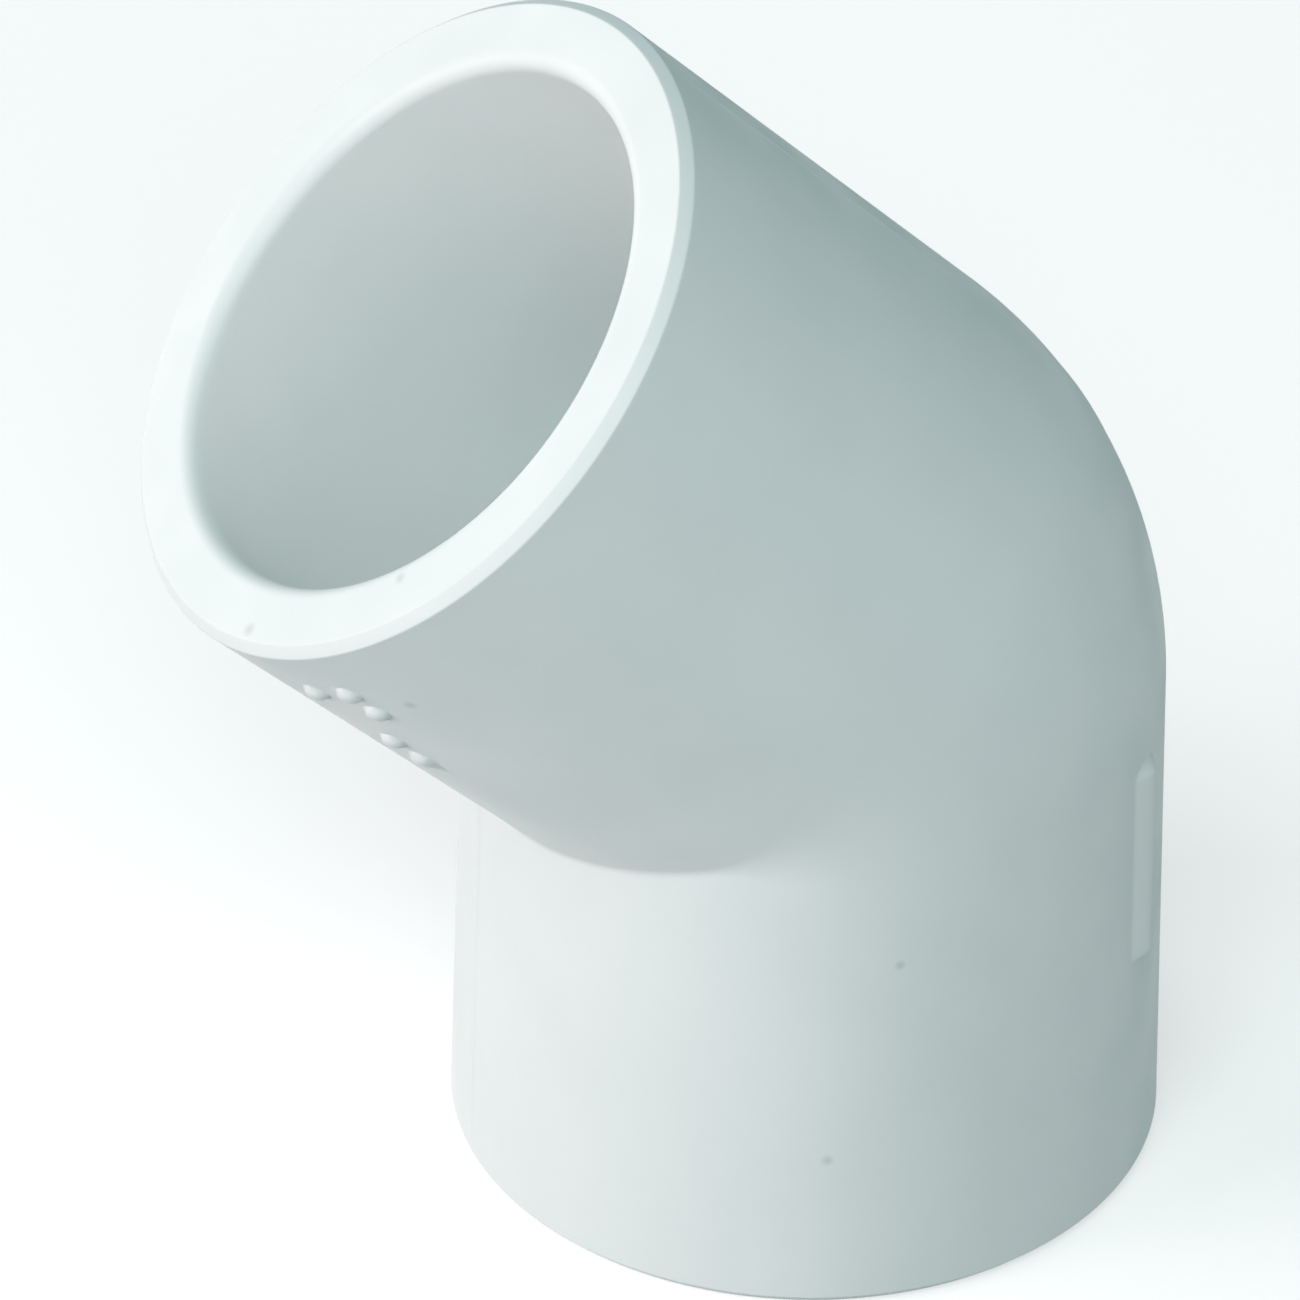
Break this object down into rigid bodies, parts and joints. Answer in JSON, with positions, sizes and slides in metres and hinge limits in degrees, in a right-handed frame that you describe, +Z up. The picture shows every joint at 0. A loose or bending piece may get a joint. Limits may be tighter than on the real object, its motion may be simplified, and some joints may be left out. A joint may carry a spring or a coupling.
{
  "type": "pvc conduit elbow",
  "caption": "Short 45 degree elbow in rigid white PVC with a plain socket at each end, for joining two half-inch conduits with solvent cement.",
  "frame": {"origin": "centre of the bounding box at the plane that the lower socket's rim stands on", "axes": "+Z up along the lower socket, -X towards the side that the upper socket leans to, and the elbow's plane of symmetry is Y = 0"},
  "size_m": [0.0396, 0.0274, 0.0491],
  "materials": {
    "white_pvc": "fine matte moulded skin"
  },
  "bodies": {
    "root": {"elbow_body": "white_pvc"}
  },
  "joints": []
}
